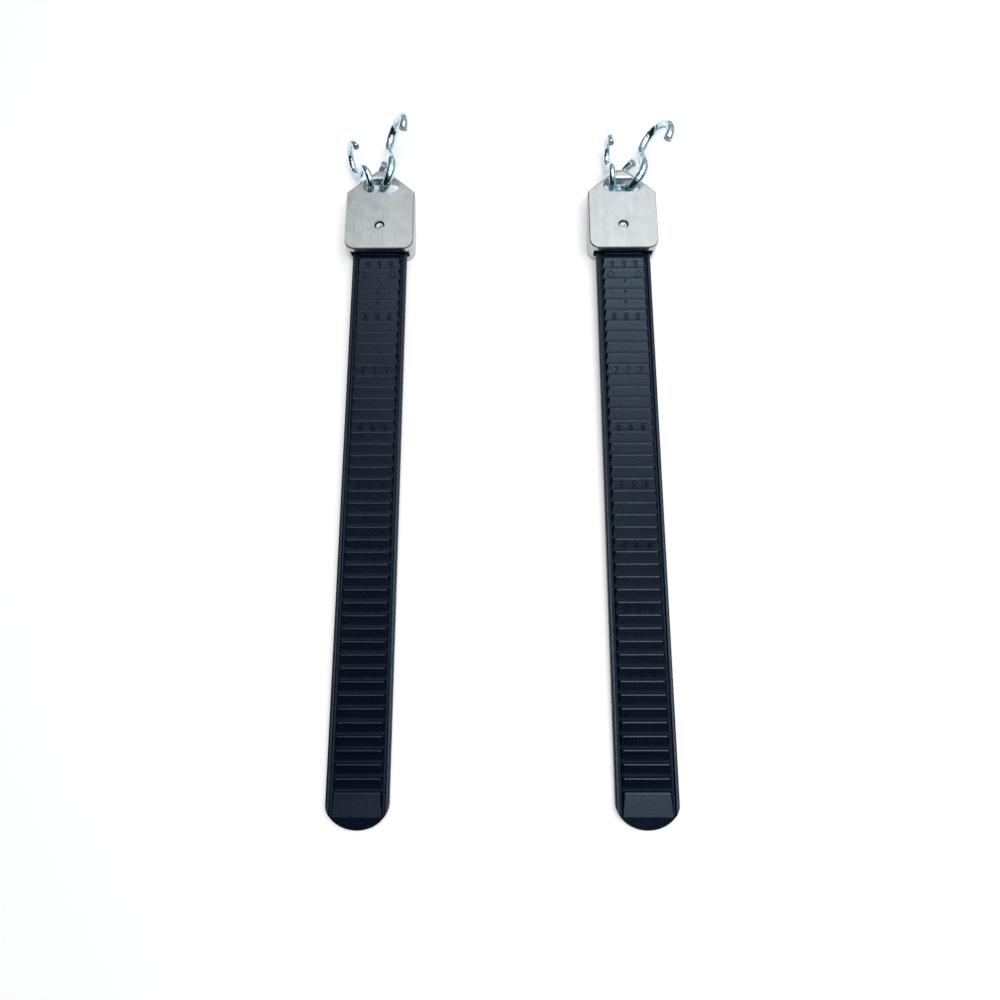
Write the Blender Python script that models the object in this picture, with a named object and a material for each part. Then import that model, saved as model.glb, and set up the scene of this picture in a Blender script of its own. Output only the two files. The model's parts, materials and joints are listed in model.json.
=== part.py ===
"""Pair of ladder straps with aluminium end fittings and S-hooks, for strapping climbing sticks to a tree.

Two identical assemblies lie side by side. In each one a moulded ladder strap is held by a pin in the
pocket of an aluminium end fitting, and two open S-hooks hang from the bridge above the fitting's slot.
X runs across the straps, Y along them towards the hooks, and Z up. Units are metres.
"""
import math

import bmesh
import bpy
from mathutils import Matrix, Vector

# The set: the straps' spacing, and the point midway between their first crests, from the footprint's middle
SPACING = 0.106
MIDDLE = (-0.0026, -0.1350)

# Ladder strap
PITCH = 0.00495
TEETH = 44
STRAP_WIDTH = 0.0234
RAIL_WIDTH = 0.0014
RAIL_HEIGHT = 0.0026
WEB = 0.0014
VALLEY = 0.0016
CREST = 0.0034
TOOTH_BASE = 0.0188
TOOTH_TOP = 0.0166
LAND = 0.0005
STEEP = 0.0005
PAD_LENGTH = 0.0085
PAD_END_HEIGHT = 0.0026
PAD_END_WIDTH = 0.0189
DRAFT = 0.0003
TIP_LENGTH = 0.0134
TIP_ROUND = 0.0100
TIP_EDGE = 0.0008
TIP_STEP = 0.0002
STRAP_LIFT = 0.0034

# The tab at the strap's other end, which goes into the fitting's pocket; its back is relieved
LAST_VALLEY = 0.0008
TAB_RAMP = 0.0010
TAB_HEIGHT = 0.0028
TAB_RELIEF = 0.0003
TAB_DEPTH = 0.0158

# Aluminium end fitting; lengths run from the mouth of its pocket towards the hooks
MOUTH = TEETH * PITCH + 0.0028
FITTING_WIDTH = 0.0298
FITTING_HEIGHT = 0.0100
SHOULDER_Y = 0.0282
APEX_Y = 0.0400
APEX_HALF_WIDTH = 0.0022
MOUTH_RADIUS = 0.0043
SHOULDER_RADIUS = 0.0015
APEX_RADIUS = 0.0030
FACE_CHAMFER = 0.0004
SLOT_LENGTH = 0.0159
SLOT_WIDTH = 0.0064
SLOT_Y = 0.0312
POCKET_WIDTH = 0.0256
POCKET_FLOOR = 0.0031
POCKET_CEILING = 0.0073
POCKET_DEPTH = 0.0170
BASE_LENGTH = 0.0090
TONGUE_Y = 0.0280
TONGUE_FLOOR = 0.0062
PIN_Y = 0.0115
HOLE_RADIUS = 0.0021

# Retaining pin, sunk at both ends
PIN_RADIUS = 0.0018
PIN_BOTTOM = 0.0010
PIN_TOP = 0.0091
PIN_DIMPLE = 0.0004

GAP = 0.0003
BEYOND = 0.01
ROUND_STEPS = 24
TIP_STEPS = 9
BEND_STEPS = 15
EYE_STEPS = 17
FLAT_ANGLE = 0.1
SHARP_ANGLE = 32

# S-hooks: wire and bend radii to the wire's centre line, spare distance between the two bends, and arcs
LARGE = {"wire": 0.0040, "eye": 0.0075, "bend": 0.0083, "spare": 0.0008, "bend_arc": 233, "eye_arc": 292}
SMALL = {"wire": 0.0030, "eye": 0.0053, "bend": 0.0066, "spare": 0.0001, "bend_arc": 256, "eye_arc": 298}

# Each hook's eye centre from the fitting's mouth and middle, and how the hook lies: yaw, lean and pitch
HOOKS = {
    "left_large_s_hook": {"size": LARGE, "eye_at": (0.0015, 0.0380, 0.0086), "lies": (-5, 30, 30)},
    "left_small_s_hook": {"size": SMALL, "eye_at": (-0.0070, 0.0348, 0.0088), "lies": (25, 16, 1)},
    "right_large_s_hook": {"size": LARGE, "eye_at": (0.0049, 0.0376, 0.0081), "lies": (-17, 37, 38)},
    "right_small_s_hook": {"size": SMALL, "eye_at": (-0.0044, 0.0364, 0.0075), "lies": (2, 0, 7)},
}

POLYMER = ((0.012, 0.014, 0.020), 0.45, 0.0)
ALUMINIUM = ((0.70, 0.72, 0.72), 0.38, 1.0)
STEEL = ((0.52, 0.53, 0.54), 0.30, 1.0)
ZINC = ((0.66, 0.72, 0.76), 0.18, 1.0)


def clear_scene():
    for obj in list(bpy.data.objects):
        bpy.data.objects.remove(obj, do_unlink=True)


def make_material(name, finish):
    colour, roughness, metallic = finish
    material = bpy.data.materials.new(name)
    material.use_nodes = True
    shader = material.node_tree.nodes["Principled BSDF"]
    shader.inputs["Base Color"].default_value = (*colour, 1.0)
    shader.inputs["Roughness"].default_value = roughness
    shader.inputs["Metallic"].default_value = metallic
    return material


def add_object(name, mesh_or_curve, material, parent):
    obj = bpy.data.objects.new(name, mesh_or_curve)
    bpy.context.scene.collection.objects.link(obj)
    if material:
        obj.data.materials.append(material)
    obj.parent = parent
    return obj


def add_solid(name, bm, material=None, parent=None):
    """Turns a bmesh into an object, with its faces pointing out."""
    bmesh.ops.recalc_face_normals(bm, faces=bm.faces)
    mesh = bpy.data.meshes.new(name)
    bm.to_mesh(mesh)
    bm.free()
    mesh.shade_smooth()
    mesh.set_sharp_from_angle(angle=math.radians(SHARP_ANGLE))
    return add_object(name, mesh, material, parent)


def change(obj, other, operation):
    """Cuts another shape out of an object, or joins it on, with a Boolean that stays on the object."""
    other.hide_render = True
    other.display_type = "WIRE"
    modifier = obj.modifiers.new(other.name, "BOOLEAN")
    modifier.operation = operation
    modifier.solver = "EXACT"
    modifier.object = other


def arc(centre, radius, start, end, steps):
    """Points on an arc in the XY plane; angles in degrees."""
    points = []
    for i in range(steps + 1):
        angle = math.radians(start + (end - start) * i / steps)
        points.append(Vector((centre[0] + radius * math.cos(angle), centre[1] + radius * math.sin(angle))))
    return points


def rounded_outline(corners):
    """Rounds each corner (x, y, radius, steps) of a polygon that runs anticlockwise."""
    outline = []
    for i, (x, y, radius, steps) in enumerate(corners):
        here = Vector((x, y))
        back = (Vector(corners[i - 1][:2]) - here).normalized()
        ahead = (Vector(corners[(i + 1) % len(corners)][:2]) - here).normalized()
        half = back.angle(ahead) / 2
        centre = here + (back + ahead).normalized() * radius / math.sin(half)
        first = here + back * radius / math.tan(half) - centre
        turn = math.pi - 2 * half
        for j in range(steps + 1):
            outline.append(centre + Matrix.Rotation(turn * j / steps, 2) @ first)
    return outline


def prism(outline, low, high):
    """An outline in the XY plane, extruded from one height to another."""
    bm = bmesh.new()
    base = bm.faces.new([bm.verts.new((p.x, p.y, low)) for p in outline])
    made = bmesh.ops.extrude_face_region(bm, geom=[base])
    top = [v for v in made["geom"] if isinstance(v, bmesh.types.BMVert)]
    bmesh.ops.translate(bm, verts=top, vec=(0, 0, high - low))
    return bm


def chamfer_rim(bm, height, width):
    """Chamfers the edges that lie at one height."""
    bm.normal_update()
    rim = [e for e in bm.edges if all(abs(v.co.z - height) < GAP / 10 for v in e.verts)]
    bmesh.ops.bevel(bm, geom=rim, offset=width, segments=1, affect="EDGES")


def circle(centre, radius):
    return arc(centre, radius, 0, 360, ROUND_STEPS)[:-1]


def obround(length, width, centre_y, steps):
    """A slot's outline: two half circles joined by straight sides."""
    reach = (length - width) / 2
    right = arc((reach, centre_y), width / 2, -90, 90, steps)
    left = arc((-reach, centre_y), width / 2, 90, 270, steps)
    return right + left


def ladder_rows():
    """Stations along the strap: y, height of the ladder, its half width on top, and height of the back."""
    floor_half = TOOTH_BASE / 2 - GAP / 2
    rows = [(-PAD_LENGTH, PAD_END_HEIGHT, PAD_END_WIDTH / 2 - DRAFT, 0)]
    for tooth in range(TEETH + 1):
        crest = tooth * PITCH
        rows.append((crest - LAND, CREST, TOOTH_TOP / 2, 0))
        rows.append((crest, CREST, TOOTH_TOP / 2, 0))
        rows.append((crest + STEEP, VALLEY, floor_half, 0))
    tab_start = TEETH * PITCH + STEEP + LAST_VALLEY
    rows.append((tab_start, VALLEY, floor_half, 0))
    rows.append((tab_start + TAB_RAMP, TAB_HEIGHT, TOOTH_TOP / 2, TAB_RELIEF))
    rows.append((MOUTH + TAB_DEPTH, TAB_HEIGHT, TOOTH_TOP / 2, TAB_RELIEF))
    return rows


def ladder_section(height, top_half, back):
    """The strap's outline across at one station: back, rails, web and ladder."""
    half = STRAP_WIDTH / 2
    rail_in = half - RAIL_WIDTH
    side = [(half, back), (half, RAIL_HEIGHT), (rail_in, RAIL_HEIGHT), (rail_in - GAP / 2, WEB)]
    side += [(TOOTH_BASE / 2, WEB), (top_half, height)]
    return side + [(-x, z) for x, z in reversed(side)]


def make_ladder_strap(name, material, parent):
    """The moulded strap: a web with a rail along each side and a saw-toothed ladder between the rails."""
    bm = bmesh.new()
    loops = []
    for y, height, top_half, back in ladder_rows():
        section = ladder_section(height, top_half, back)
        loops.append([bm.verts.new((x, y, z)) for x, z in section])
    for near, far in zip(loops, loops[1:]):
        for i in range(len(near)):
            j = (i + 1) % len(near)
            bm.faces.new((near[i], near[j], far[j], far[i]))
    bm.faces.new(loops[0])
    bm.faces.new(list(reversed(loops[-1])))
    bmesh.ops.recalc_face_normals(bm, faces=bm.faces)
    bmesh.ops.dissolve_limit(bm, angle_limit=math.radians(FLAT_ANGLE), verts=bm.verts, edges=bm.edges)
    bmesh.ops.translate(bm, verts=bm.verts, vec=(0, -MOUTH - PIN_Y, 0))
    strap = add_solid(name, bm, material, parent)

    change(strap, make_strap_tip(name + "_tip", parent), "UNION")
    hole = prism(circle((0, 0), HOLE_RADIUS), -BEYOND, BEYOND)
    change(strap, add_solid(name + "_hole", hole, None, parent), "DIFFERENCE")
    change(strap, make_tip_trim(name + "_trim", parent), "DIFFERENCE")


def tip_curve(end):
    """The strap's end in plan, as an ellipse's lower half, from its middle out to where y is end."""
    start = TIP_ROUND - TIP_LENGTH
    curve = []
    for i in range(TIP_STEPS + 1):
        angle = math.radians(90 * i / TIP_STEPS)
        y = start - TIP_ROUND * math.cos(angle)
        if y < end:
            curve.append(Vector((STRAP_WIDTH / 2 * math.sin(angle), y)))
    return curve


def make_strap_tip(name, parent):
    """The strap's end: rounded in plan, with a ramp from just under the pad's end down to a thin edge."""
    end = GAP - PAD_LENGTH
    start = TIP_ROUND - TIP_LENGTH
    share = (start - end) / TIP_ROUND
    curve = tip_curve(end)
    curve.append(Vector((STRAP_WIDTH / 2 * math.sqrt(1 - share * share), end)))
    outline = curve + [Vector((-p.x, p.y)) for p in reversed(curve[1:])]
    top = PAD_END_HEIGHT - TIP_STEP
    slope = (top - TIP_EDGE) / (TIP_LENGTH - PAD_LENGTH)
    bm = prism(outline, 0, top)
    for vert in bm.verts:
        if vert.co.z > 0:
            vert.co.z += slope * (vert.co.y + PAD_LENGTH)
    bmesh.ops.translate(bm, verts=bm.verts, vec=(0, -MOUTH - PIN_Y, 0))
    return add_solid(name, bm, None, parent)


def make_tip_trim(name, parent):
    """A cutter that rounds the rails where they run into the tip."""
    start = TIP_ROUND - TIP_LENGTH
    reach = STRAP_WIDTH
    curve = tip_curve(reach)
    outline = [Vector((-p.x, p.y)) for p in reversed(curve[1:])] + curve
    corners = ((reach, start), (reach, -reach), (-reach, -reach), (-reach, start))
    outline += [Vector(corner) for corner in corners]
    bm = prism(outline, -BEYOND, BEYOND)
    bmesh.ops.translate(bm, verts=bm.verts, vec=(0, -MOUTH - PIN_Y, 0))
    return add_solid(name, bm, None, parent)


def make_end_fitting(name, material, parent):
    """The aluminium block: pocket for the strap, hole for the pin, and a slotted tongue for the hooks."""
    half = FITTING_WIDTH / 2
    corners = [
        (-half, MOUTH, MOUTH_RADIUS, 6),
        (half, MOUTH, MOUTH_RADIUS, 6),
        (half, MOUTH + SHOULDER_Y, SHOULDER_RADIUS, 2),
        (APEX_HALF_WIDTH, MOUTH + APEX_Y, APEX_RADIUS, 4),
        (-APEX_HALF_WIDTH, MOUTH + APEX_Y, APEX_RADIUS, 4),
        (-half, MOUTH + SHOULDER_Y, SHOULDER_RADIUS, 2),
    ]
    bm = prism(rounded_outline(corners), 0, FITTING_HEIGHT)
    chamfer_rim(bm, FITTING_HEIGHT, FACE_CHAMFER)
    fitting = add_solid(name, bm, material, parent)
    change(fitting, make_underside_cutter(name + "_under", parent), "DIFFERENCE")

    slot = prism(obround(SLOT_LENGTH, SLOT_WIDTH, MOUTH + SLOT_Y, 8), -BEYOND, 2 * BEYOND)
    change(fitting, add_solid(name + "_slot", slot, None, parent), "DIFFERENCE")

    pocket_half = POCKET_WIDTH / 2
    reach = MOUTH + POCKET_DEPTH
    outline = [(-pocket_half, MOUTH - BEYOND), (pocket_half, MOUTH - BEYOND)]
    outline += [(pocket_half, reach), (-pocket_half, reach)]
    pocket = prism([Vector(p) for p in outline], POCKET_FLOOR, POCKET_CEILING)
    change(fitting, add_solid(name + "_pocket", pocket, None, parent), "DIFFERENCE")

    hole = prism(circle((0, MOUTH + PIN_Y), HOLE_RADIUS), -BEYOND, 2 * BEYOND)
    change(fitting, add_solid(name + "_pin_hole", hole, None, parent), "DIFFERENCE")


def make_underside_cutter(name, parent):
    """Under the fitting: the base is flat near the mouth, then rises to the slotted tongue."""
    far = MOUTH + APEX_Y + BEYOND
    outline = [(MOUTH + BASE_LENGTH, -GAP / 10), (MOUTH + TONGUE_Y, TONGUE_FLOOR), (far, TONGUE_FLOOR)]
    outline += [(far, -BEYOND), (MOUTH + BASE_LENGTH, -BEYOND)]
    bm = bmesh.new()
    face = bm.faces.new([bm.verts.new((-FITTING_WIDTH, y, z)) for y, z in outline])
    made = bmesh.ops.extrude_face_region(bm, geom=[face])
    moved = [v for v in made["geom"] if isinstance(v, bmesh.types.BMVert)]
    bmesh.ops.translate(bm, verts=moved, vec=(2 * FITTING_WIDTH, 0, 0))
    return add_solid(name, bm, None, parent)


def make_retaining_pin(name, material, parent):
    """The pin through the fitting and the strap, with a shallow dimple in its head."""
    pin = prism(circle((0, MOUTH + PIN_Y), PIN_RADIUS), PIN_BOTTOM, PIN_TOP)
    top = [f for f in pin.faces if all(abs(v.co.z - PIN_TOP) < GAP / 10 for v in f.verts)]
    bmesh.ops.inset_region(pin, faces=top, thickness=PIN_RADIUS / 3, depth=0)
    bmesh.ops.translate(pin, verts=top[0].verts, vec=(0, 0, -PIN_DIMPLE))
    add_solid(name, pin, material, parent)


def s_hook_path(size):
    """The hook's centre line in its own plane: open bend, straight and eye. The eye's centre is at 0, 0."""
    eye, bend = size["eye"], size["bend"]
    length = eye + bend + size["spare"]
    lift = math.degrees(math.acos((eye + bend) / length))
    path = arc((length, 0), bend, lift + 180 + size["bend_arc"], lift + 180, BEND_STEPS)
    path += arc((0, 0), eye, lift, lift + size["eye_arc"], EYE_STEPS)
    return path


def make_s_hook(name, spec, material, parent):
    """Round wire bent to an S: the eye rings the fitting's bridge, and the other bend stays open."""
    size = spec["size"]
    curve = bpy.data.curves.new(name, "CURVE")
    curve.dimensions = "3D"
    curve.bevel_depth = size["wire"] / 2
    curve.bevel_resolution = 2
    curve.use_fill_caps = True
    path = s_hook_path(size)
    spline = curve.splines.new("POLY")
    spline.points.add(len(path) - 1)
    for point, place in zip(spline.points, path):
        point.co = (0, place.x, place.y, 1)
    hook = add_object(name, curve, material, parent)
    x, y, z = spec["eye_at"]
    yaw, lean, pitch = [math.radians(a) for a in spec["lies"]]
    hook.location = (x, MOUTH + y, z)
    turn = Matrix.Rotation(yaw, 3, "Z") @ Matrix.Rotation(lean, 3, "Y") @ Matrix.Rotation(pitch, 3, "X")
    hook.rotation_euler = turn.to_euler()


def make_assembly(side, sign, materials):
    """One strap with its fitting, pin and hooks, on an empty at the strap's first crest."""
    frame = add_object(side + "_assembly", None, None, None)
    frame.location = (MIDDLE[0] + sign * SPACING / 2, MIDDLE[1], 0)
    make_end_fitting(side + "_end_fitting", materials["aluminium"], frame)
    make_retaining_pin(side + "_retaining_pin", materials["steel"], frame)

    # The strap swivels on the pin. It leans down from the pocket until its tip lies on the surface.
    swivel = add_object(side + "_strap_swivel", None, None, frame)
    slope = math.atan2(STRAP_LIFT, MOUTH + TIP_LENGTH)
    to_tip = MOUTH + PIN_Y + TIP_LENGTH
    swivel.location = (0, MOUTH + PIN_Y, to_tip * math.sin(slope))
    swivel.rotation_euler = (slope, 0, 0)
    make_ladder_strap(side + "_ladder_strap", materials["polymer"], swivel)

    for kind in ("large", "small"):
        name = side + "_" + kind + "_s_hook"
        make_s_hook(name, HOOKS[name], materials["zinc"], frame)


def main():
    clear_scene()
    materials = {
        "polymer": make_material("polymer", POLYMER),
        "aluminium": make_material("aluminium", ALUMINIUM),
        "steel": make_material("steel", STEEL),
        "zinc": make_material("zinc", ZINC),
    }
    make_assembly("left", -1, materials)
    make_assembly("right", 1, materials)


main()
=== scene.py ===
"""Looks for a pair of ladder straps with aluminium end fittings, retaining pins and zinc-plated S-hooks.

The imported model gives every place: the fittings' boxes and the joints' points. The sizes below are the
design's own, repeated so that the fine meshes follow the same shapes. Units are metres and degrees, except
where a comment gives another.
"""

import json
import math

import bmesh
import bpy
from mathutils import Matrix, Vector


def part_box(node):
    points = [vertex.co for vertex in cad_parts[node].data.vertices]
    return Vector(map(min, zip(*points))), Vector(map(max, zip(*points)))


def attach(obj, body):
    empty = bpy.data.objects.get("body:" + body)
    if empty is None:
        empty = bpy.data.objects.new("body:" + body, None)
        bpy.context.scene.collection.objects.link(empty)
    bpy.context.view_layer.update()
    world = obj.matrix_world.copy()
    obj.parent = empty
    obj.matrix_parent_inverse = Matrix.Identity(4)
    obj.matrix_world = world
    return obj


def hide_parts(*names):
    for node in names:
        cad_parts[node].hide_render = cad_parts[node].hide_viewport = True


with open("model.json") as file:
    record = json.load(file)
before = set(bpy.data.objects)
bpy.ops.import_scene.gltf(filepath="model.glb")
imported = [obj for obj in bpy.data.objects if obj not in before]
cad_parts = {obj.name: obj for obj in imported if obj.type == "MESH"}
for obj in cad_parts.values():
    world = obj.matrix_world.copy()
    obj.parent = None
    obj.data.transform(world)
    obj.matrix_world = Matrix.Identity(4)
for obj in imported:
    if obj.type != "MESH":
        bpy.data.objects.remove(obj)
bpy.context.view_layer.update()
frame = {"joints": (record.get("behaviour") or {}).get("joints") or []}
joints = {joint["name"]: joint for joint in frame["joints"]}
SIDES = ("left", "right")

# Ladder strap, in its own frame: Y runs from its first crest to the fitting, and Z up from its back
PITCH = 0.00495
TEETH = 44
STRAP_WIDTH = 0.0234
RAIL_WIDTH = 0.0014
RAIL_HEIGHT = 0.0026
RAIL_DRAFT = 0.00015
WEB = 0.0014
VALLEY = 0.0016
CREST = 0.0034
TOOTH_BASE = 0.0188
TOOTH_TOP = 0.0166
LAND = 0.0005
STEEP = 0.0005
PAD_LENGTH = 0.0085
PAD_END_HEIGHT = 0.0026
PAD_END_WIDTH = 0.0189
PAD_DRAFT = 0.0003
TIP_LENGTH = 0.0134
TIP_ROUND = 0.0100
TIP_EDGE = 0.0008
TIP_STEP = 0.0002
LAST_VALLEY = 0.0008
TAB_RAMP = 0.0010
TAB_HEIGHT = 0.0028
TAB_RELIEF = 0.0003
TAB_DEPTH = 0.0158
STRAP_LIFT = 0.0034

# Radii of the strap's edges, seen from its side and then across it
SLOPE_TOP_ROUND = 0.00035
CREST_ROUND = 0.00014
VALLEY_ROUND = 0.00022
TAB_ROUND = 0.0002
BACK_ROUND = 0.0003
RAIL_ROUND = 0.00062
RAIL_INNER_ROUND = 0.00028
RAIL_FOOT_ROUND = 0.00018
TOOTH_FOOT_ROUND = 0.00012
TOOTH_SIDE_ROUND = 0.00016
STRAP_ROUND_STEPS = 3

# The tip, and the plate that trims the strap to its plan
TIP_STEPS = 40
TIP_RIM = 0.0004
RIM_STEPS = 6
TRIM_CLEARANCE = 0.00002
TRIM_ABOVE_RAILS = 0.0012
TRIM_ROUND = 0.0014
STRAP_HOLE_STEPS = 48

# Marks sunk in the teeth: sizes are width, height up the slope and depth; places run 0 to 1 up the slope
NUMERALS = 9
NUMERAL_EVERY = 5
NUMERAL_SPACING = 0.0050
NUMERAL_ALONG = 0.47
NUMERAL_SIZE = (0.0028, 0.0031, 0.0010)
NUMERAL_CURVE_STEPS = 3
EJECTOR_TOOTH = 43
EJECTOR_X = 0.0059
EJECTOR_ALONG = 0.5
EJECTOR_SIZE = (0.0028, 0.0028, 0.0006)
EJECTOR_INNER = 0.40
MARK_STEPS = 28
GATE_TEETH = (42, 41, 40)
GATE_ALONG = 0.86
GATE_SIZE = (0.0009, 0.0012, 0.0008)

# End fitting, from the mouth of its pocket towards the hooks; MOUTH is where that mouth is along the strap
MOUTH_GAP = 0.0028
MOUTH = TEETH * PITCH + MOUTH_GAP
SHOULDER_Y = 0.0282
APEX_Y = 0.0400
APEX_HALF_WIDTH = 0.0022
SLOT_LENGTH = 0.0159
SLOT_WIDTH = 0.0064
SLOT_Y = 0.0312
POCKET_WIDTH = 0.0256
POCKET_FLOOR = 0.0031
POCKET_CEILING = 0.0073
POCKET_DEPTH = 0.0170
BASE_LENGTH = 0.0090
TONGUE_Y = 0.0280
TONGUE_FLOOR = 0.0062
PIN_Y = 0.0115
HOLE_RADIUS = 0.0021
FACE_CHAMFER = 0.00042
BRIDGE_START = 0.0335
BRIDGE_ROUND = 0.0021
SLOT_BREAK = 0.00022
SLOT_ROUND = 0.0017
SLOT_FLARE = (0.6, 1.5)
HOLE_BREAK = 0.00015
CORNER_ROUND = 0.0043
SHOULDER_ROUND = 0.0015
APEX_ROUND = 0.0030
POCKET_ROUND = 0.0004
OUTLINE_STEPS = 12
POCKET_STEPS = 4
EDGE_STEPS = 8
SLOT_END_STEPS = 16
SLOT_SIDE_STEPS = 8
HOLE_STEPS = 64

# Retaining pin; its head is given by radius and depth below the top, from the rim to the dimple's middle
PIN_RADIUS = 0.0018
PIN_BOTTOM = 0.0010
PIN_TOP = 0.0091
PIN_CHAMFER = 0.0002
PIN_HEAD = (
    (PIN_RADIUS, 0.0003), (PIN_RADIUS - 0.0001, 0.0001), (PIN_RADIUS - 0.0003, 0.0),
    (0.0008, 0.00005), (0.0006, 0.0002), (0.0003, 0.0003), (0.0, 0.00032),
)
PIN_STEPS = 48

# S-hooks: the wire's diameter, the radii of eye and bend to its centre line, what is added between their
# centres, and the arcs that they turn through. HOOKS says how each one lies: yaw, lean and pitch
LARGE = {"wire": 0.0040, "eye": 0.0075, "bend": 0.0083, "spare": 0.0008, "bend_arc": 233, "eye_arc": 292}
SMALL = {"wire": 0.0030, "eye": 0.0053, "bend": 0.0066, "spare": 0.0001, "bend_arc": 256, "eye_arc": 298}
HOOKS = {
    "left_large": (LARGE, (-5, 30, 30)),
    "left_small": (SMALL, (25, 16, 1)),
    "right_large": (LARGE, (-17, 37, 38)),
    "right_small": (SMALL, (2, 0, 7)),
}
END_BREAK = 0.00022
WIRE_STEPS = 40
BEND_STEPS = 84
EYE_STEPS = 96

# Modelling: gaps and reaches, lengths small enough to leave out, how a corner is rounded, and the angles
# beyond which an edge stays sharp
GAP = 0.0003
BEYOND = 0.01
UNDERSIDE_START = -GAP / 10
MERGE = 1e-7
TINY = 1e-6
END_MARGIN = 1e-5
STRAIGHT = 89.5
CORNER_ROOM = 0.45
STRAP_SHARP = 38
METAL_SHARP = 30
WIRE_SHARP = 50

# Materials. The polymers are a name, the darkest and the lightest colour, and the least roughness. The metals
# have pairs: the darkest and the lightest colour, and the ends of the roughness. SCRATCH_TURN is in radians
POLYMER = ("moulded_polymer", (0.0007, 0.0030, 0.0105), (0.0016, 0.0050, 0.0150), 0.22)
# Sunk marks: colours darker than the strap's, which are painted shade in the recesses, and a rougher surface
SUNK_POLYMER_PAINTED_SHADE = ("sunk_marks_painted_shade", (0.0004, 0.0010, 0.0026), (0.0008, 0.0018, 0.0042), 0.65)
POLYMER_IOR = 1.5
POLYMER_TINT = (0.60, 0.78, 1.0, 1.0)
POLYMER_SPREAD = 0.09
VALLEY_DULLNESS = 0.40
VALLEY_FADE = 0.0006
LADDER_FADE = 0.0002
CREST_POLISH = -0.13
CREST_FADE = (0.0003, 0.00005)
ALUMINIUM_COLOURS = ((0.42, 0.45, 0.46), (0.56, 0.59, 0.595))
ALUMINIUM_ROUGHNESS = (0.27, 0.40)
GRAIN_SHIFTS = {"left": 0.0, "right": 3.7}
SCRATCH_TURN = 1.0
STEEL_COLOURS = ((0.42, 0.42, 0.41), (0.66, 0.66, 0.65))
STEEL_ROUGHNESS = (0.18, 0.36)
ZINC_COLOURS = ((0.50, 0.69, 0.79), (0.72, 0.84, 0.90))
ZINC_ROUGHNESS = (0.03, 0.10)
CUT_END_COLOURS = ((0.20, 0.25, 0.28), (0.46, 0.52, 0.55))
CUT_END_ROUGHNESS = (0.35, 0.55)

# A ramp's inputs, and the parts of a noise's range that ramps spread out
RAMP_KEYS = ("Value", "From Min", "From Max", "To Min", "To Max")
WIDE = (0.3, 0.7)
NARROW = (0.35, 0.65)

# Floor, light and camera; the camera's lens and sensor are in millimetres
FLOOR_SIZE = 4.0
FLOOR_GAP = 0.00004
FLOOR_COLOUR = (0.88, 0.88, 0.875)
FLOOR_ROUGHNESS = 0.7
FLOOR_SPECULAR = 0.2
FLOOR_GLOW = 0.29
FLOOR_GLOW_COLOUR = (1.0, 1.0, 0.995, 1.0)
ROOM_COLOUR = (0.93, 0.97, 1.0, 1.0)
ROOM_BRIGHT_SIDE = (0.45, 0.60, 0.66)
ROOM_LEVELS = (-0.10, 0.95, 0.02, 0.42)
OVERHEAD_EDGE = -0.34
OVERHEAD_TURN = 39.0
OVERHEAD_HEIGHT = 0.80
OVERHEAD_SIZE = 1.30
OVERHEAD_RADIANCE = 1.15
LAMP_PLACE = (0.36, -0.08, 1.20)
LAMP_SIZE = 0.66
LAMP_RADIANCE = 2.9
CAMERA_PLACE = (-0.0018, -0.1009, 0.2948)
CAMERA_LENS = 27.0
CAMERA_SENSOR = 36.0
CAMERA_YAW = 1.14
CAMERA_DOWN = 75.36
CAMERA_ROLL = -1.23


# Shapes

def new_object(name, mesh):
    obj = bpy.data.objects.new(name, mesh)
    bpy.context.scene.collection.objects.link(obj)
    return obj


def as_mesh(name, bm):
    mesh = bpy.data.meshes.new(name)
    bm.to_mesh(mesh)
    bm.free()
    return mesh


def solid(name, bm):
    """Turns a bmesh into an object, with its faces pointing out."""
    bmesh.ops.recalc_face_normals(bm, faces=bm.faces)
    return new_object(name, as_mesh(name, bm))


def take_mesh(obj):
    """Keeps an object's mesh and removes the object."""
    mesh = obj.data
    bpy.data.objects.remove(obj, do_unlink=True)
    return mesh


def change(obj, other, operation):
    """Cuts another shape out of an object, joins it on or keeps what both share, and removes the other."""
    modifier = obj.modifiers.new(operation, "BOOLEAN")
    modifier.operation = operation
    modifier.solver = "EXACT"
    modifier.object = other
    bake_modifiers(obj)
    bpy.data.objects.remove(other, do_unlink=True)


def bake_modifiers(obj):
    """Puts an object's evaluated mesh in place of its modifiers."""
    depsgraph = bpy.context.evaluated_depsgraph_get()
    mesh = bpy.data.meshes.new_from_object(obj.evaluated_get(depsgraph))
    obj.modifiers.clear()
    obj.data = mesh


def smooth(obj, sharp_angle):
    """Smooth shading with sharp edges, and flat faces that stay flat beside rounded edges."""
    obj.data.shade_smooth()
    obj.data.set_sharp_from_angle(angle=math.radians(sharp_angle))
    normals = obj.modifiers.new("normals", "WEIGHTED_NORMAL")
    normals.keep_sharp = True
    bake_modifiers(obj)


def arc(centre, radius, start, end, steps):
    """Points on an arc, from one angle to another."""
    points = []
    for i in range(steps + 1):
        angle = math.radians(start + (end - start) * i / steps)
        points.append(Vector((centre[0] + radius * math.cos(angle), centre[1] + radius * math.sin(angle))))
    return points


def circle(centre, radius, steps):
    return arc(centre, radius, 0, 360, steps)[:-1]


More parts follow.
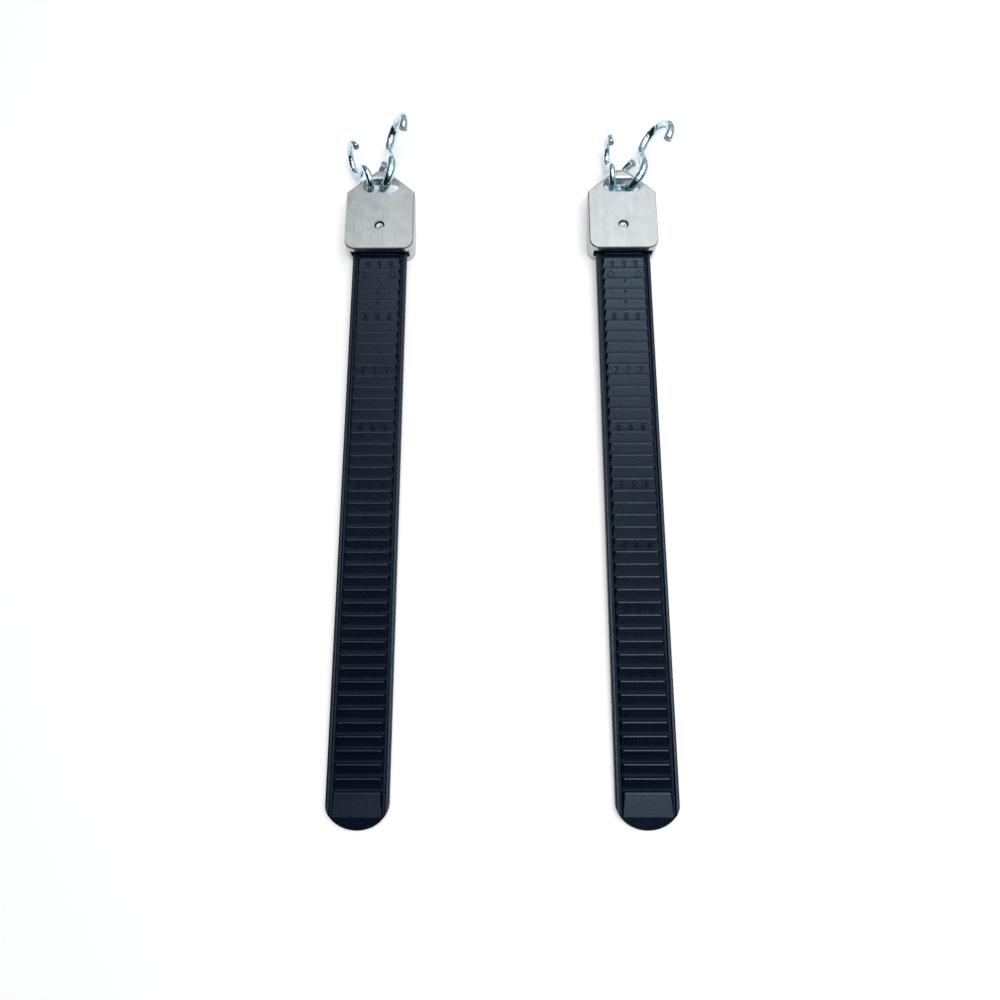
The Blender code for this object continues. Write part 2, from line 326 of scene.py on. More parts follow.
def rounded(corners, steps, closed):
    """Rounds the corners (x, y, radius) of a path. A radius is cut down where its corner is too small."""
    points = [Vector(c[:2]) for c in corners]
    out = []
    for i, (x, y, radius) in enumerate(corners):
        here = points[i]
        if not closed and i in (0, len(corners) - 1):
            out.append(here)
            continue
        back = points[i - 1] - here
        ahead = points[(i + 1) % len(corners)] - here
        half = back.angle(ahead) / 2
        if half > math.radians(STRAIGHT):
            out += [here.copy() for _ in range(steps + 1)]
            continue
        room = CORNER_ROOM * min(back.length, ahead.length)
        reach = min(radius / math.tan(half), room)
        radius = reach * math.tan(half)
        centre = here + (back.normalized() + ahead.normalized()).normalized() * radius / math.sin(half)
        first = here + back.normalized() * reach - centre
        turn = (math.pi - 2 * half) * (1 if back.cross(ahead) < 0 else -1)
        for j in range(steps + 1):
            out.append(centre + Matrix.Rotation(turn * j / steps, 2) @ first)
    return out


def skin(rings, closed_ends=True):
    """A body through rings of equal length, with or without faces over its two ends."""
    bm = bmesh.new()
    loops = [[bm.verts.new(p) for p in ring] for ring in rings]
    for near, far in zip(loops, loops[1:]):
        for i in range(len(near)):
            j = (i + 1) % len(near)
            bm.faces.new((near[i], near[j], far[j], far[i]))
    if closed_ends:
        bm.faces.new(loops[0])
        bm.faces.new(list(reversed(loops[-1])))
    bmesh.ops.remove_doubles(bm, verts=bm.verts, dist=MERGE)
    bmesh.ops.dissolve_degenerate(bm, edges=bm.edges, dist=MERGE)
    return bm


def prism(outline, low, high):
    """An outline drawn out from one height to another."""
    return skin([[(p[0], p[1], z) for p in outline] for z in (low, high)])


# Ladder strap

def ladder_corners():
    """Corners of the ladder's side view: y, height, half width on top, height of the back, and radius."""
    floor_half = TOOTH_BASE / 2 - GAP / 2
    rows = [(-PAD_LENGTH, PAD_END_HEIGHT, PAD_END_WIDTH / 2 - PAD_DRAFT, 0, 0)]
    for tooth in range(TEETH + 1):
        crest = tooth * PITCH
        rows.append((crest - LAND, CREST, TOOTH_TOP / 2, 0, SLOPE_TOP_ROUND))
        rows.append((crest, CREST, TOOTH_TOP / 2, 0, CREST_ROUND))
        rows.append((crest + STEEP, VALLEY, floor_half, 0, VALLEY_ROUND))
    tab_start = TEETH * PITCH + STEEP + LAST_VALLEY
    rows.append((tab_start, VALLEY, floor_half, 0, 0))
    rows.append((tab_start + TAB_RAMP, TAB_HEIGHT, TOOTH_TOP / 2, TAB_RELIEF, TAB_ROUND))
    rows.append((MOUTH + TAB_DEPTH, TAB_HEIGHT, TOOTH_TOP / 2, TAB_RELIEF, 0))
    return rows


def between(rows, y, column):
    """A column's value at y, on straight lines between the rows."""
    for near, far in zip(rows, rows[1:]):
        if y <= far[0]:
            share = max(0.0, (y - near[0]) / (far[0] - near[0]))
            return near[column] + (far[column] - near[column]) * share
    return rows[-1][column]


def strap_section(height, top_half, back):
    """The strap's outline across: back, rounded rails, web and ladder."""
    half = STRAP_WIDTH / 2
    rail_in = half - RAIL_WIDTH
    side = [
        (half, back, BACK_ROUND), (half, RAIL_HEIGHT, RAIL_ROUND), (rail_in, RAIL_HEIGHT, RAIL_INNER_ROUND),
        (rail_in - RAIL_DRAFT, WEB, RAIL_FOOT_ROUND), (TOOTH_BASE / 2, WEB, TOOTH_FOOT_ROUND),
        (top_half, height, TOOTH_SIDE_ROUND),
    ]
    corners = side + [(-x, z, r) for x, z, r in reversed(side)]
    return rounded(corners, STRAP_ROUND_STEPS, True)


def tip_outline(grow):
    """Half of the strap's plan round its tip: a quarter of an ellipse, from the middle to the side."""
    start = TIP_ROUND - TIP_LENGTH
    half = STRAP_WIDTH / 2
    side = []
    for i in range(TIP_STEPS + 1):
        angle = math.radians(90 * i / TIP_STEPS)
        side.append(Vector(((half + grow) * math.sin(angle), start - (TIP_ROUND + grow) * math.cos(angle))))
    return side


def mirrored(side):
    """A whole outline from its right-hand side."""
    return side + [Vector((-p.x, p.y)) for p in reversed(side) if p.x > TINY]


def rounded_plate(end, grow, height, radius, fall=0.0):
    """A plate in the strap's plan, from the tip up to end. Its top edge is rounded, and its top may fall
    towards the tip."""
    rings = []
    for level in range(RIM_STEPS + 1):
        angle = math.radians(90 * level / RIM_STEPS)
        inset = radius * (1 - math.cos(angle)) - grow
        side = [p for p in tip_outline(-inset) if p.y < end - END_MARGIN]
        start = TIP_ROUND - TIP_LENGTH
        share = max(0.0, (start - end) / (TIP_ROUND - inset))
        half = (STRAP_WIDTH / 2 - inset) * math.sqrt(max(0.0, 1 - share * share))
        while len(side) < TIP_STEPS + 2:
            side.append(Vector((half, end)))
        outline = mirrored(side)
        if not rings:
            rings.append([(p.x, p.y, -BEYOND if grow else 0.0) for p in outline])
        drop = radius * (1 - math.sin(angle))
        rings.append([(p.x, p.y, height - drop + fall * (p.y - end)) for p in outline])
    return skin(rings)


def numeral_mesh(digit):
    """A digit's solid, 1 unit high with its middle at 0, from Blender's own font."""
    curve = bpy.data.curves.new("numeral", "FONT")
    curve.body = digit
    curve.extrude = 0.5
    curve.resolution_u = NUMERAL_CURVE_STEPS
    holder = new_object("numeral", curve)
    bpy.context.view_layer.update()
    depsgraph = bpy.context.evaluated_depsgraph_get()
    mesh = bpy.data.meshes.new_from_object(holder.evaluated_get(depsgraph))
    bpy.data.objects.remove(holder, do_unlink=True)
    low = Vector([min(v.co[i] for v in mesh.vertices) for i in range(3)])
    high = Vector([max(v.co[i] for v in mesh.vertices) for i in range(3)])
    size = high - low
    mesh.transform(Matrix.Translation(-(low + high) / 2))
    mesh.transform(Matrix.Diagonal((1 / size.y, 1 / size.y, 1 / size.z, 1)))
    return mesh


def tooth_face(tooth, x, along):
    """A turn and a place on a tooth's long slope: Z is out of it and Y up it, and along runs 0 to 1 up it."""
    low = Vector((x, (tooth - 1) * PITCH + STEEP, VALLEY))
    high = Vector((x, tooth * PITCH - LAND, CREST))
    up = (high - low).normalized()
    across = Vector((1, 0, 0))
    out = across.cross(up)
    place = low + (high - low) * along
    return Matrix((across, up, out)).transposed().to_4x4(), place


def make_marks():
    """What is sunk in the teeth: row numerals on every fifth tooth, ejector marks and gate marks."""
    marks = bmesh.new()

    def add(mesh, tooth, x, along, size):
        turn, place = tooth_face(tooth, x, along)
        copy = mesh.copy()
        copy.transform(Matrix.Translation(place) @ turn @ Matrix.Diagonal((*size, 1)))
        marks.from_mesh(copy)
        bpy.data.meshes.remove(copy)

    for number in range(1, NUMERALS + 1):
        digit = numeral_mesh(str(number))
        for column in (-1, 0, 1):
            add(digit, NUMERAL_EVERY * number - 1, column * NUMERAL_SPACING, NUMERAL_ALONG, NUMERAL_SIZE)
    section = [(0.5, -0.5), (0.5, 0.5), (EJECTOR_INNER, 0.5), (EJECTOR_INNER, -0.5)]
    around = [[(p.x * r, p.y * r, z) for r, z in section] for p in circle((0, 0), 1.0, MARK_STEPS)]
    ring = as_mesh("ring", skin(around + around[:1], False))
    disc = as_mesh("disc", prism(circle((0, 0), 0.5, MARK_STEPS), -0.5, 0.5))
    for x in (-EJECTOR_X, EJECTOR_X):
        add(ring, EJECTOR_TOOTH, x, EJECTOR_ALONG, EJECTOR_SIZE)
    for tooth in GATE_TEETH:
        add(disc, tooth, 0.0, GATE_ALONG, GATE_SIZE)
    bmesh.ops.remove_doubles(marks, verts=marks.verts, dist=MERGE)
    return solid("marks", marks)


def make_strap_mesh(materials):
    """The moulding's fine mesh, with its pin's axis at 0, 0; the second material is inside its marks."""
    rows = ladder_corners()
    profile = rounded([(row[0], row[1], row[4]) for row in rows], STRAP_ROUND_STEPS, False)
    rings = []
    for point in profile:
        section = strap_section(point.y, between(rows, point.x, 2), between(rows, point.x, 3))
        rings.append([(p.x, point.x, p.y) for p in section])
    strap = solid("strap", skin(rings))
    plate = rounded_plate(MOUTH + POCKET_DEPTH, TRIM_CLEARANCE, RAIL_HEIGHT + TRIM_ABOVE_RAILS, TRIM_ROUND)
    change(strap, solid("trim", plate), "INTERSECT")
    fall = (PAD_END_HEIGHT - TIP_STEP - TIP_EDGE) / (TIP_LENGTH - PAD_LENGTH)
    top = PAD_END_HEIGHT - TIP_STEP + fall * GAP
    change(strap, solid("tip", rounded_plate(GAP - PAD_LENGTH, 0, top, TIP_RIM, fall)), "UNION")
    marks = make_marks()
    for obj in (strap, marks):
        obj.data.materials.clear()
        for material in materials:
            obj.data.materials.append(material)
    # The marks' faces take the second material, whose darker colour is painted shade in the recesses
    for polygon in marks.data.polygons:
        polygon.material_index = 1
    change(strap, marks, "DIFFERENCE")
    hole = prism(circle((0, MOUTH + PIN_Y), HOLE_RADIUS, STRAP_HOLE_STEPS), -BEYOND, BEYOND)
    change(strap, solid("hole", hole), "DIFFERENCE")
    strap.data.transform(Matrix.Translation((0, -MOUTH - PIN_Y, 0)))
    smooth(strap, STRAP_SHARP)
    return take_mesh(strap)


def place_strap(side, mesh):
    """Sets the strap on its pin's axis, leaning down until the tip lies on the surface."""
    pin = joints[side + "_strap_swivel"]["pos_m"]
    slope = math.atan2(STRAP_LIFT, MOUTH + TIP_LENGTH)
    lift = (MOUTH + PIN_Y + TIP_LENGTH) * math.sin(slope)
    strap = new_object(side + "_strap", mesh.copy())
    strap.matrix_world = Matrix.Translation((pin[0], pin[1], lift)) @ Matrix.Rotation(slope, 4, "X")
    dress(strap, [], side + "_strap", side + "_ladder_strap")


def dress(piece, materials, body, node):
    """Gives a piece its materials and body, and hides the imported node that it stands for."""
    for material in materials:
        piece.data.materials.append(material)
    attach(piece, body)
    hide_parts(node)


# End fitting

def fitting_outline(width):
    """The fitting's plan: straight at the mouth, and narrowing from the shoulders to the bridge."""
    half = width / 2
    side = [
        (half, 0, CORNER_ROUND), (half, SHOULDER_Y, SHOULDER_ROUND), (APEX_HALF_WIDTH, APEX_Y, APEX_ROUND),
    ]
    corners = [(-half, 0, CORNER_ROUND)] + side + [(-x, y, r) for x, y, r in reversed(side[1:])]
    return rounded(corners, OUTLINE_STEPS, True)


def inward_normals(outline):
    normals = []
    for i, here in enumerate(outline):
        along = (outline[(i + 1) % len(outline)] - outline[i - 1]).normalized()
        normals.append(Vector((-along.y, along.x)))
    return normals


def ease(value, low, high):
    """Runs smoothly from 0 to 1 as value goes from low to high."""
    share = min(1.0, max(0.0, (value - low) / (high - low)))
    return share * share * (3 - 2 * share)


def fitting_blank(width, height):
    """The block: a chamfer round its front face, which grows into a full round over the bridge."""
    outline = fitting_outline(width)
    normals = inward_normals(outline)
    rings = [[(p.x, p.y, 0) for p in outline]]
    for level in range(EDGE_STEPS + 1):
        share = level / EDGE_STEPS
        angle = math.radians(90 * share)
        ring = []
        for p, normal in zip(outline, normals):
            roundness = ease(p.y, BRIDGE_START, APEX_Y)
            radius = FACE_CHAMFER + (BRIDGE_ROUND - FACE_CHAMFER) * roundness
            inset = radius * (share + ((1 - math.cos(angle)) - share) * roundness)
            drop = radius * ((1 - share) + ((1 - math.sin(angle)) - (1 - share)) * roundness)
            ring.append((p.x + normal.x * inset, p.y + normal.y * inset, height - drop))
        rings.append(ring)
    return skin(rings)


def slot_cutter(height):
    """The slot, flared where it meets the front face: a little all round, and widely along the bridge."""
    reach = (SLOT_LENGTH - SLOT_WIDTH) / 2
    far = SLOT_Y + SLOT_WIDTH / 2
    right = arc((reach, SLOT_Y), SLOT_WIDTH / 2, -90, 90, SLOT_END_STEPS)
    left = arc((-reach, SLOT_Y), SLOT_WIDTH / 2, 90, 270, SLOT_END_STEPS)
    middle = [Vector((reach - 2 * reach * i / SLOT_SIDE_STEPS, far)) for i in range(1, SLOT_SIDE_STEPS)]
    outline = right + middle + left
    normals = inward_normals(outline)
    flare_start, flare_end = [reach * share for share in SLOT_FLARE]
    rings = [[(p.x, p.y, -BEYOND) for p in outline]]
    for level in range(EDGE_STEPS + 1):
        angle = math.radians(90 * level / EDGE_STEPS)
        ring = []
        for p, normal in zip(outline, normals):
            wide = ease(p.y, SLOT_Y, far) * (1 - ease(abs(p.x), flare_start, flare_end))
            radius = SLOT_BREAK + (SLOT_ROUND - SLOT_BREAK) * wide
            out = radius * (1 - math.cos(angle))
            ring.append((p.x - normal.x * out, p.y - normal.y * out, height - radius * (1 - math.sin(angle))))
        rings.append(ring)
    rings.append([(x, y, height + BEYOND) for x, y, z in rings[-1]])
    return skin(rings)


def underside_cutter(width):
    """What is cut away under the tongue: a slope up from the base, and then a level."""
    far = APEX_Y + BEYOND
    side = [(BASE_LENGTH, UNDERSIDE_START), (TONGUE_Y, TONGUE_FLOOR), (far, TONGUE_FLOOR), (far, -BEYOND)]
    side.append((BASE_LENGTH, -BEYOND))
    return skin([[(x, y, z) for y, z in side] for x in (-width, width)])


def pin_hole_cutter(height):
    """The pin's hole, with a small countersink at the front face."""
    levels = [(-BEYOND, HOLE_RADIUS), (height - HOLE_BREAK, HOLE_RADIUS), (height, HOLE_RADIUS + HOLE_BREAK)]
    levels.append((height + BEYOND, HOLE_RADIUS + HOLE_BREAK))
    return skin([[(p.x, p.y, z) for p in circle((0, PIN_Y), radius, HOLE_STEPS)] for z, radius in levels])


def make_fitting_mesh(width, height):
    """The fitting's fine mesh, from its pocket's mouth, with its middle at x = 0."""
    fitting = solid("fitting", fitting_blank(width, height))
    change(fitting, solid("under", underside_cutter(width)), "DIFFERENCE")
    change(fitting, solid("slot", slot_cutter(height)), "DIFFERENCE")
    pocket_half = POCKET_WIDTH / 2
    corners = [
        (-pocket_half, POCKET_FLOOR, POCKET_ROUND), (pocket_half, POCKET_FLOOR, POCKET_ROUND),
        (pocket_half, POCKET_CEILING, POCKET_ROUND), (-pocket_half, POCKET_CEILING, POCKET_ROUND),
    ]
    section = rounded(corners, POCKET_STEPS, True)
    pocket = skin([[(p.x, y, p.y) for p in section] for y in (-BEYOND, POCKET_DEPTH)])
    change(fitting, solid("pocket", pocket), "DIFFERENCE")
    change(fitting, solid("hole", pin_hole_cutter(height)), "DIFFERENCE")
    smooth(fitting, METAL_SHARP)
    return take_mesh(fitting)


def place_fitting(side, mesh, material):
    low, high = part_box(side + "_end_fitting")
    fitting = new_object(side + "_fitting", mesh.copy())
    fitting.matrix_world = Matrix.Translation(((low.x + high.x) / 2, low.y, 0))
    dress(fitting, [material], side + "_fitting", side + "_end_fitting")


# Retaining pin

def make_pin_mesh():
    """A turned pin with chamfered ends and a slightly domed, dimpled head."""
    profile = [
        (0.0, PIN_BOTTOM), (PIN_RADIUS - PIN_CHAMFER, PIN_BOTTOM), (PIN_RADIUS, PIN_BOTTOM + PIN_CHAMFER),
    ]
    profile += [(radius, PIN_TOP - depth) for radius, depth in PIN_HEAD]
    rings = [[(p.x, p.y, z) for p in circle((0, 0), max(r, TINY), PIN_STEPS)] for r, z in profile]
    pin = solid("pin", skin(rings))
    smooth(pin, METAL_SHARP)
    return take_mesh(pin)


def place_pin(side, mesh, material):
    pos = joints[side + "_strap_swivel"]["pos_m"]
    pin = new_object(side + "_pin", mesh.copy())
    pin.matrix_world = Matrix.Translation((pos[0], pos[1], 0))
    dress(pin, [material], side + "_fitting", side + "_retaining_pin")


# S-hooks

def s_hook_path(size):
    """The hook's centre line in its own plane: open bend, straight and eye. The eye's centre is at 0, 0."""
    eye, bend = size["eye"], size["bend"]
    length = eye + bend + size["spare"]
    lift = math.degrees(math.acos((eye + bend) / length))
    path = arc((length, 0), bend, lift + 180 + size["bend_arc"], lift + 180, BEND_STEPS)
    path += arc((0, 0), eye, lift, lift + size["eye_arc"], EYE_STEPS)
    return path


def make_hook_mesh(size):
    """Round wire along the hook's path; both ends are sawn off square, with the edge just broken."""
    path = s_hook_path(size)
    radius = size["wire"] / 2
    wire = circle((0, 0), radius, WIRE_STEPS)
    rings = []
    last = len(path) - 1
    for i, here in enumerate(path):
        along = (path[min(i + 1, last)] - path[max(i - 1, 0)]).normalized()
        side = Vector((-along.y, along.x))
        ring = [(p.x, here.x + side.x * p.y, here.y + side.y * p.y) for p in wire]
        if i in (0, last):
            out = along * (-1 if i == 0 else 1) * END_BREAK
            share = 1 - END_BREAK / radius
            cap = [
                (p.x * share, here.x + side.x * p.y * share + out.x, here.y + side.y * p.y * share + out.y)
                for p in wire
            ]
            rings += [cap, ring] if i == 0 else [ring, cap]
        else:
            rings.append(ring)
    hook = solid("hook", skin(rings))
    hook.data.shade_smooth()
    hook.data.set_sharp_from_angle(angle=math.radians(WIRE_SHARP))
    return take_mesh(hook)


def place_hook(name, mesh, materials, lies):
    """Sets the hook's eye on its joint. Its sawn ends, with more than four sides, get the second material."""
    joint = joints[name + "_hook_swing"]
    yaw, lean, pitch = [math.radians(angle) for angle in lies]
    turn = Matrix.Rotation(yaw, 4, "Z") @ Matrix.Rotation(lean, 4, "Y") @ Matrix.Rotation(pitch, 4, "X")
    hook = new_object(name + "_hook", mesh.copy())
    hook.matrix_world = Matrix.Translation(joint["pos_m"]) @ turn
    dress(hook, materials, name + "_hook", name + "_s_hook")
    for polygon in hook.data.polygons:
        if len(polygon.vertices) > 4:
            polygon.material_index = 1


# Materials

class Nodes:
    """A few short calls for building a material's nodes. The plain colour and roughness are what a material
    has where it links nothing of its own."""

    def __init__(self, name, colour, roughness, metallic):
        self.material = bpy.data.materials.new(name)
        self.material.use_nodes = True
        self.tree = self.material.node_tree
        self.shader = self.tree.nodes["Principled BSDF"]
        self.shader.inputs["Base Color"].default_value = (*colour, 1)
        self.shader.inputs["Roughness"].default_value = roughness
        self.shader.inputs["Metallic"].default_value = metallic
        self.place = self.tree.nodes.new("ShaderNodeTexCoord").outputs["Object"]

    def node(self, kind, inputs, **settings):
        node = self.tree.nodes.new(kind)
        for key, value in settings.items():
            setattr(node, key, value)
        for key, value in inputs.items():
            if isinstance(value, bpy.types.NodeSocket):
                self.tree.links.new(value, node.inputs[key])
            else:
                node.inputs[key].default_value = value
        return node

    def stretched(self, scale, place=None, turn=0.0):
        """A place for noise to stretch along: the object's own or a given one, turned about Z in radians."""
        inputs = {"Vector": place or self.place, "Rotation": (0, 0, turn), "Scale": scale}
        return self.node("ShaderNodeMapping", inputs).outputs["Vector"]

    def noise(self, vector, scale, detail=3.0, roughness=0.55, distortion=0.0):
        inputs = {"Vector": vector, "Scale": scale, "Detail": detail, "Roughness": roughness}
        inputs["Distortion"] = distortion
        return self.node("ShaderNodeTexNoise", inputs).outputs["Fac"]

    def ramp(self, value, span, out):
        """Takes a value's span, low and high, to the two values of out."""
        inputs = dict(zip(RAMP_KEYS, (value, *span, *out)))
        return self.node("ShaderNodeMapRange", inputs).outputs["Result"]

    def math(self, operation, a, b):
        return self.node("ShaderNodeMath", {0: a, 1: b}, operation=operation).outputs[0]

    def blend(self, share, a, b):
        node = self.node("ShaderNodeMix", {"Factor": share}, data_type="RGBA")
        for key, value in ((6, a), (7, b)):
            if isinstance(value, bpy.types.NodeSocket):
                self.tree.links.new(value, node.inputs[key])
            else:
                node.inputs[key].default_value = (*value, 1)
        return node.outputs[2]

    def set(self, key, socket):
        self.tree.links.new(socket, self.shader.inputs[key])

    def bump(self, heights):
        """Chains bumps: each is a height, a strength and a distance."""
        normal = None
        for height, strength, distance in heights:
            inputs = {"Height": height, "Strength": strength, "Distance": distance}
            if normal:
                inputs["Normal"] = normal
            normal = self.node("ShaderNodeBump", inputs).outputs["Normal"]
        self.set("Normal", normal)


def polymer_material(name, dark, light, smoothest):
    """Injection-moulded polymer, black with a blue cast: spark-eroded grain, flow lines, dull valleys and
    crests polished by wear."""
    nodes = Nodes(name, dark, smoothest, 0.0)
    nodes.shader.inputs["IOR"].default_value = POLYMER_IOR
    nodes.shader.inputs["Specular Tint"].default_value = POLYMER_TINT
    grain = nodes.noise(nodes.place, scale=5200.0, detail=2.0)
    coarse = nodes.noise(nodes.place, scale=2300.0, detail=2.0)
    flow_place = nodes.stretched((60.0, 500.0, 200.0))
    flow = nodes.noise(flow_place, scale=1.0, detail=4.0, roughness=0.6, distortion=0.6)
    cloud = nodes.noise(nodes.place, scale=45.0)
    nodes.set("Base Color", nodes.blend(nodes.ramp(cloud, NARROW, (0.0, 1.0)), dark, light))
    flowing = nodes.ramp(flow, WIDE, (smoothest, smoothest + POLYMER_SPREAD))
    rough = nodes.math("ADD", flowing, nodes.ramp(coarse, WIDE, (-0.03, 0.04)))
    parts = nodes.node("ShaderNodeSeparateXYZ", {"Vector": nodes.place}).outputs
    ladder_end = -MOUTH - PIN_Y - PAD_LENGTH
    on_ladder = nodes.ramp(parts["Y"], (ladder_end, ladder_end + LADDER_FADE), (0.0, 1.0))
    in_valley = nodes.ramp(parts["Z"], (VALLEY, VALLEY + VALLEY_FADE), (VALLEY_DULLNESS, 0.0))
    rough = nodes.math("ADD", rough, nodes.math("MULTIPLY", on_ladder, in_valley))
    crest_span = (CREST - CREST_FADE[0], CREST - CREST_FADE[1])
    rough = nodes.math("ADD", rough, nodes.ramp(parts["Z"], crest_span, (0.0, CREST_POLISH)))
    nodes.set("Roughness", rough)
    nodes.bump([(grain, 0.35, 0.00004), (coarse, 0.8, 0.00012), (flow, 0.08, 0.00006)])
    return nodes.material


def aluminium_material(side):
    """Satin aluminium: grain along the length, patches of tone, and a few short handling scratches."""
    shift = (GRAIN_SHIFTS[side], GRAIN_SHIFTS[side], 0)
    nodes = Nodes("satin_aluminium_" + side, (0.80, 0.82, 0.82), 0.36, 1.0)
    place = nodes.node("ShaderNodeVectorMath", {0: nodes.place, 1: shift}, operation="ADD").outputs[0]
    long_grain = nodes.stretched((4200.0, 130.0, 900.0), place)
    streaks = nodes.stretched((420.0, 22.0, 60.0), place)
    grain = nodes.noise(long_grain, scale=1.0, roughness=0.6)
    streak = nodes.noise(streaks, scale=1.0)
    cloud = nodes.noise(place, scale=190.0, detail=4.0)
    tone = nodes.math("ADD", nodes.ramp(streak, WIDE, (0.0, 0.4)), nodes.ramp(cloud, NARROW, (0.0, 0.6)))
    nodes.set("Base Color", nodes.blend(tone, *ALUMINIUM_COLOURS))
    turned = nodes.stretched((700.0, 90.0, 90.0), place, SCRATCH_TURN)
    scratch = nodes.noise(turned, scale=1.0, detail=1.0, roughness=0.4, distortion=0.2)
    scratch = nodes.ramp(scratch, (0.64, 0.69), (0.0, 1.0))
    rough = nodes.ramp(grain, WIDE, ALUMINIUM_ROUGHNESS)
    nodes.set("Roughness", nodes.math("ADD", rough, nodes.ramp(cloud, WIDE, (-0.03, 0.05))))
    nodes.bump([(grain, 0.30, 0.00002), (scratch, 0.60, 0.00004)])
    return nodes.material


def pin_material():
    """Drawn steel with turned rings on its head."""
    nodes = Nodes("drawn_steel", (0.56, 0.56, 0.55), 0.25, 1.0)
    cloud = nodes.noise(nodes.place, scale=900.0)
    rings = nodes.node("ShaderNodeTexWave", {"Vector": nodes.place, "Scale": 1500.0, "Distortion": 1.5},
                       wave_type="RINGS", rings_direction="Z").outputs["Fac"]
    nodes.set("Base Color", nodes.blend(cloud, *STEEL_COLOURS))
    nodes.set("Roughness", nodes.ramp(cloud, WIDE, STEEL_ROUGHNESS))
    nodes.bump([(rings, 0.15, 0.00003), (cloud, 0.2, 0.00004)])
    return nodes.material


def zinc_material():
    """Bright zinc plate with a bluish passivated film; the wire's drawn surface makes reflections wavy."""
    nodes = Nodes("bright_zinc", (0.70, 0.80, 0.86), 0.10, 1.0)
    wave = nodes.noise(nodes.place, scale=480.0, detail=2.0)
    fine = nodes.noise(nodes.place, scale=1500.0)
    film = nodes.noise(nodes.place, scale=150.0, detail=2.0)
    nodes.set("Base Color", nodes.blend(nodes.ramp(film, NARROW, (0.0, 1.0)), *ZINC_COLOURS))
    nodes.set("Roughness", nodes.ramp(fine, WIDE, ZINC_ROUGHNESS))
    nodes.bump([(wave, 0.90, 0.00042), (fine, 0.20, 0.00005)])
    return nodes.material


def cut_end_material():
    """The wire's sawn ends: dull plate over saw marks."""
    nodes = Nodes("sawn_wire_end", (0.30, 0.35, 0.38), 0.42, 1.0)
    lines = nodes.noise(nodes.stretched((3500.0, 500.0, 500.0)), scale=1.0)
    cloud = nodes.noise(nodes.place, scale=900.0)
    nodes.set("Base Color", nodes.blend(cloud, *CUT_END_COLOURS))
    nodes.set("Roughness", nodes.ramp(cloud, WIDE, CUT_END_ROUGHNESS))
    nodes.bump([(lines, 0.4, 0.00005)])
    return nodes.material


# Stage: floor, light and camera

def make_floor():
    """A wide pale floor just under the set; it glows a little, so that it stays evenly white."""
    bm = bmesh.new()
    bmesh.ops.create_grid(bm, x_segments=1, y_segments=1, size=FLOOR_SIZE)
    floor = solid("floor", bm)
    floor.location.z = -FLOOR_GAP
    nodes = Nodes("pale_floor", FLOOR_COLOUR, FLOOR_ROUGHNESS, 0.0)
    nodes.shader.inputs["Specular IOR Level"].default_value = FLOOR_SPECULAR
    nodes.shader.inputs["Emission Color"].default_value = FLOOR_GLOW_COLOUR
    nodes.shader.inputs["Emission Strength"].default_value = FLOOR_GLOW
    grain = nodes.noise(nodes.place, scale=700.0, detail=2.0)
    nodes.bump([(grain, 0.15, 0.0002)])
    floor.data.materials.append(nodes.material)


def make_world():
    """A plain room: brightest above and beyond the hooks to the right, darker towards the viewer's left."""
    world = bpy.data.worlds.new("studio")
    bpy.context.scene.world = world
    world.use_nodes = True
    tree = world.node_tree
    background = tree.nodes["Background"]
    place = tree.nodes.new("ShaderNodeTexCoord").outputs["Generated"]
    facing = tree.nodes.new("ShaderNodeVectorMath")
    facing.operation = "DOT_PRODUCT"
    tree.links.new(place, facing.inputs[0])
    facing.inputs[1].default_value = Vector(ROOM_BRIGHT_SIDE).normalized()
    level = tree.nodes.new("ShaderNodeMapRange")
    level.interpolation_type = "SMOOTHSTEP"
    tree.links.new(facing.outputs["Value"], level.inputs["Value"])
    for key, value in zip(RAMP_KEYS[1:], ROOM_LEVELS):
        level.inputs[key].default_value = value
    tree.links.new(level.outputs["Result"], background.inputs["Strength"])
    background.inputs["Color"].default_value = ROOM_COLOUR


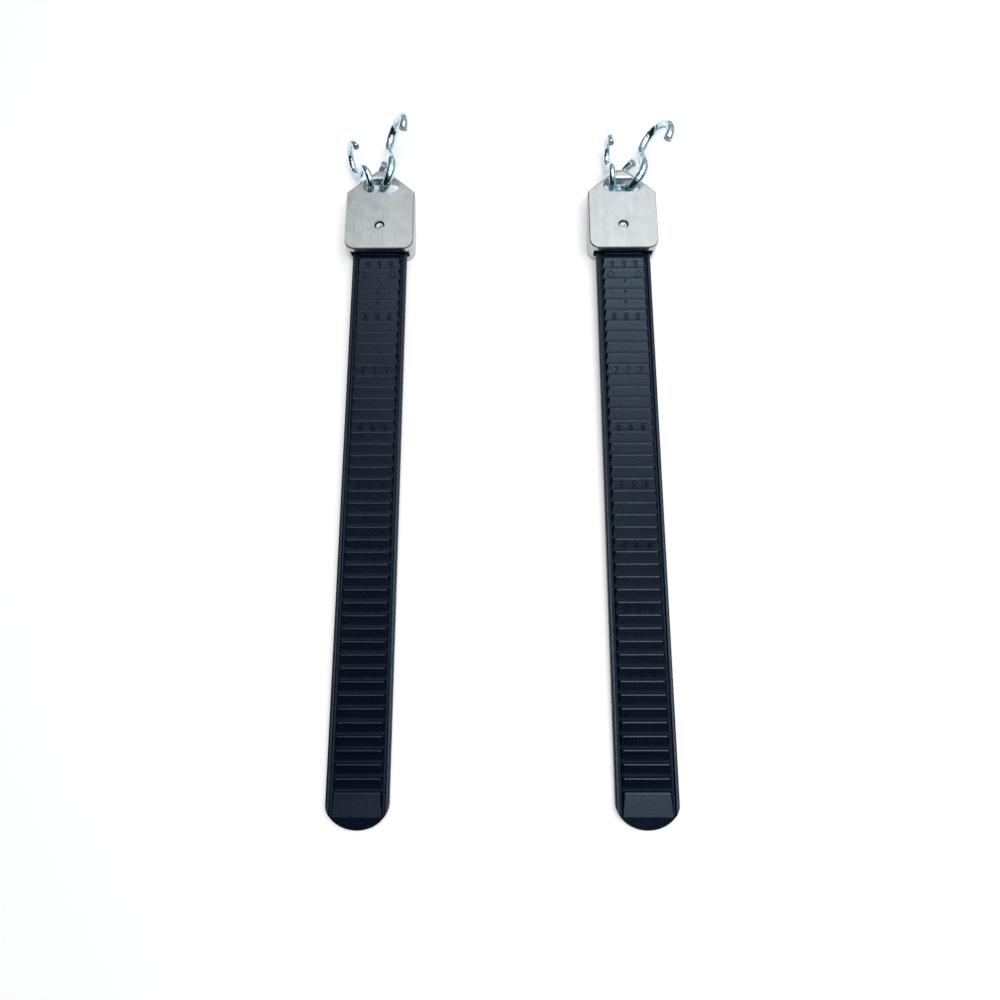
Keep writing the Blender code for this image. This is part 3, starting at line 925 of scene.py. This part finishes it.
def make_softbox(name, place, aim, size, radiance):
    """A square light at place that shines along aim; radiance is how bright its face looks."""
    light = bpy.data.lights.new(name, "AREA")
    light.size = size
    light.energy = radiance * math.pi * size * size
    box = bpy.data.objects.new(name, light)
    bpy.context.scene.collection.objects.link(box)
    box.location = place
    box.rotation_euler = aim.to_track_quat("-Z", "Y").to_euler()
    return box


def make_lights():
    """A wide overhead softbox, whose edge shows part of the way down the teeth, and a brighter lamp."""
    turn = Matrix.Rotation(math.radians(OVERHEAD_TURN), 3, "Z")
    place = turn @ Vector((OVERHEAD_EDGE + OVERHEAD_SIZE / 2, 0, OVERHEAD_HEIGHT))
    overhead = make_softbox("overhead", place, Vector((0, 0, -1)), OVERHEAD_SIZE, OVERHEAD_RADIANCE)
    overhead.rotation_euler.z = math.radians(OVERHEAD_TURN)
    make_softbox("lamp", LAMP_PLACE, Vector((0, 0, -1)), LAMP_SIZE, LAMP_RADIANCE)


def make_camera():
    """Held above the set, over the straps' lower half, and looking steeply down."""
    turn = Matrix.Rotation(math.radians(CAMERA_YAW), 3, "Z")
    down = Matrix.Rotation(math.radians(90 - CAMERA_DOWN), 3, "X")
    roll = Matrix.Rotation(math.radians(CAMERA_ROLL), 3, "Z")
    data = bpy.data.cameras.new("camera")
    data.lens = CAMERA_LENS
    data.sensor_width = CAMERA_SENSOR
    camera = bpy.data.objects.new("camera", data)
    bpy.context.scene.collection.objects.link(camera)
    camera.matrix_world = Matrix.Translation(CAMERA_PLACE) @ (turn @ down @ roll).to_4x4()
    bpy.context.scene.camera = camera


def main():
    bpy.context.scene.view_settings.view_transform = "Standard"
    make_camera()
    make_world()
    make_lights()
    make_floor()

    # The second strap material paints shade into the sunk marks
    strap_materials = [polymer_material(*POLYMER), polymer_material(*SUNK_POLYMER_PAINTED_SHADE)]
    steel = pin_material()
    hook_materials = [zinc_material(), cut_end_material()]
    strap_mesh = make_strap_mesh(strap_materials)
    pin_mesh = make_pin_mesh()
    low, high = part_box("left_end_fitting")
    fitting_mesh = make_fitting_mesh(high.x - low.x, high.z)
    for side in SIDES:
        place_strap(side, strap_mesh)
        place_fitting(side, fitting_mesh, aluminium_material(side))
        place_pin(side, pin_mesh, steel)
    for name, (size, lies) in HOOKS.items():
        place_hook(name, make_hook_mesh(size), hook_materials, lies)


main()
